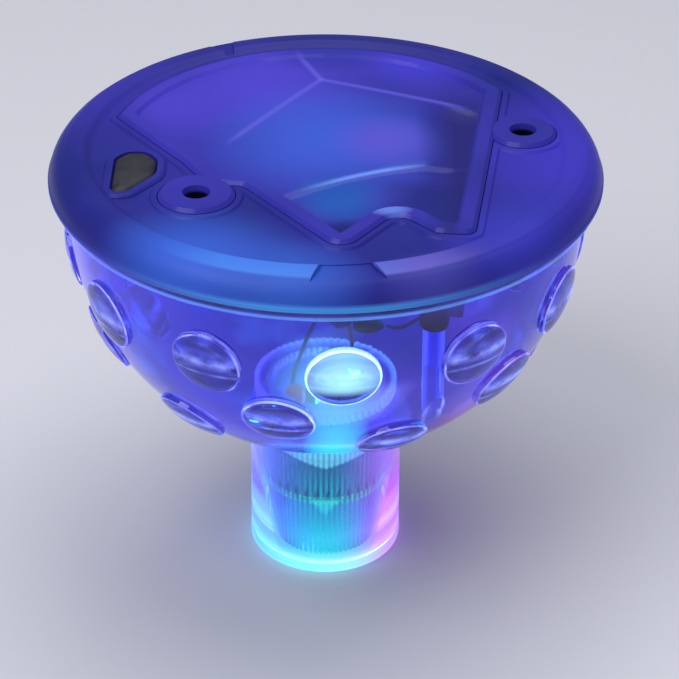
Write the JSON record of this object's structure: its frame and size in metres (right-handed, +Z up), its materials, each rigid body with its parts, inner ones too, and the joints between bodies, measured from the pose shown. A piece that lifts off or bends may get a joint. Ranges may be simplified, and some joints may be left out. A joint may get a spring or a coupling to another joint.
{
  "type": "floating pool light",
  "caption": "Floating pool light: clear lens-studded bowl on a hollow stem, frosted cap with a screwed battery door and a rubber push button.",
  "frame": {"origin": "centre of the stem's flat foot", "axes": "+Z up along the stem to the cap, -Y the front, +X to the right seen from the front"},
  "size_m": [0.128, 0.128, 0.11],
  "materials": {
    "clear_plastic": "clear, polished",
    "frosted_plastic": "frosted, translucent, lit from inside",
    "black_rubber": "smooth",
    "grey_rubber": "matt, soft touch",
    "sealant": "glossy, set from a bead",
    "screw_steel": "blackened by shadow in its bore, satin",
    "contact_steel": "nickel plated",
    "cell_wrap": "printed wrap without marks",
    "circuit_board": "solder mask",
    "black_plastic": "moulded",
    "white_plastic": "moulded",
    "red_insulation": "smooth",
    "black_insulation": "smooth",
    "resistor_body": "lacquered",
    "red_lamp": "tinted lens, lit",
    "green_lamp": "tinted lens, lit",
    "blue_lamp": "tinted lens, lit"
  },
  "bodies": {
    "housing": {"clear_bowl": "clear_plastic", "stem_tube": "clear_plastic", "light_cup": "clear_plastic", "top_cover": "frosted_plastic", "rim_gasket": "black_rubber", "door_gasket": "black_rubber", "post_sealant": "sealant", "wall_sealant": "sealant", "contact_plate_1": "contact_steel", "contact_plate_2": "contact_steel", "contact_plate_3": "contact_steel", "contact_spring_1": "contact_steel", "contact_spring_2": "contact_steel", "contact_spring_3": "contact_steel", "aaa_cell_1": "cell_wrap", "aaa_cell_2": "cell_wrap", "aaa_cell_3": "cell_wrap", "led_board": "circuit_board", "switch_board": "circuit_board", "switch_body": "black_plastic", "control_chip": "black_plastic", "switch_carrier": "white_plastic", "battery_lead_red": "red_insulation", "switch_lead_1": "red_insulation", "battery_lead_black": "black_insulation", "switch_lead_2": "black_insulation", "anchored_lead": "black_insulation", "resistor_1": "resistor_body", "resistor_2": "resistor_body", "led_red_1": "red_lamp", "led_red_2": "red_lamp", "led_green": "green_lamp", "led_blue_1": "blue_lamp", "led_blue_2": "blue_lamp"},
    "button": {"push_button": "grey_rubber"},
    "plunger": {"switch_plunger": "black_plastic"},
    "door": {"battery_door": "frosted_plastic", "screw_seal_left": "black_rubber", "screw_seal_right": "black_rubber"},
    "screw_left": {"door_screw_left": "screw_steel"},
    "screw_right": {"door_screw_right": "screw_steel"}
  },
  "joints": [
    {"name": "button_press", "type": "slide", "parent": "housing", "child": "button", "axis": [0, 0, -1], "range_m": [0, 0.001], "stiffness_N_per_m": 600, "springref_m": -0.0006},
    {"name": "plunger_press", "type": "slide", "parent": "housing", "child": "plunger", "axis": [0, 0, -1], "range_m": [0, 0.0004]},
    {"name": "door_lift", "type": "slide", "parent": "housing", "child": "door", "axis": [0, 0, 1], "range_m": [0, 0.03]},
    {"name": "screw_left_turn", "type": "hinge", "parent": "door", "child": "screw_left", "pos_m": [-0.02867, -0.02399, 0.104], "axis": [0, 0, 1], "range_deg": [0, 2160]},
    {"name": "screw_right_turn", "type": "hinge", "parent": "door", "child": "screw_right", "pos_m": [0.04569, 0.00699, 0.104], "axis": [0, 0, 1], "range_deg": [0, 2160]}
  ],
  "couplings": [
    {"joint": "plunger_press", "follows": "button_press", "ratio": 0.3}
  ]
}
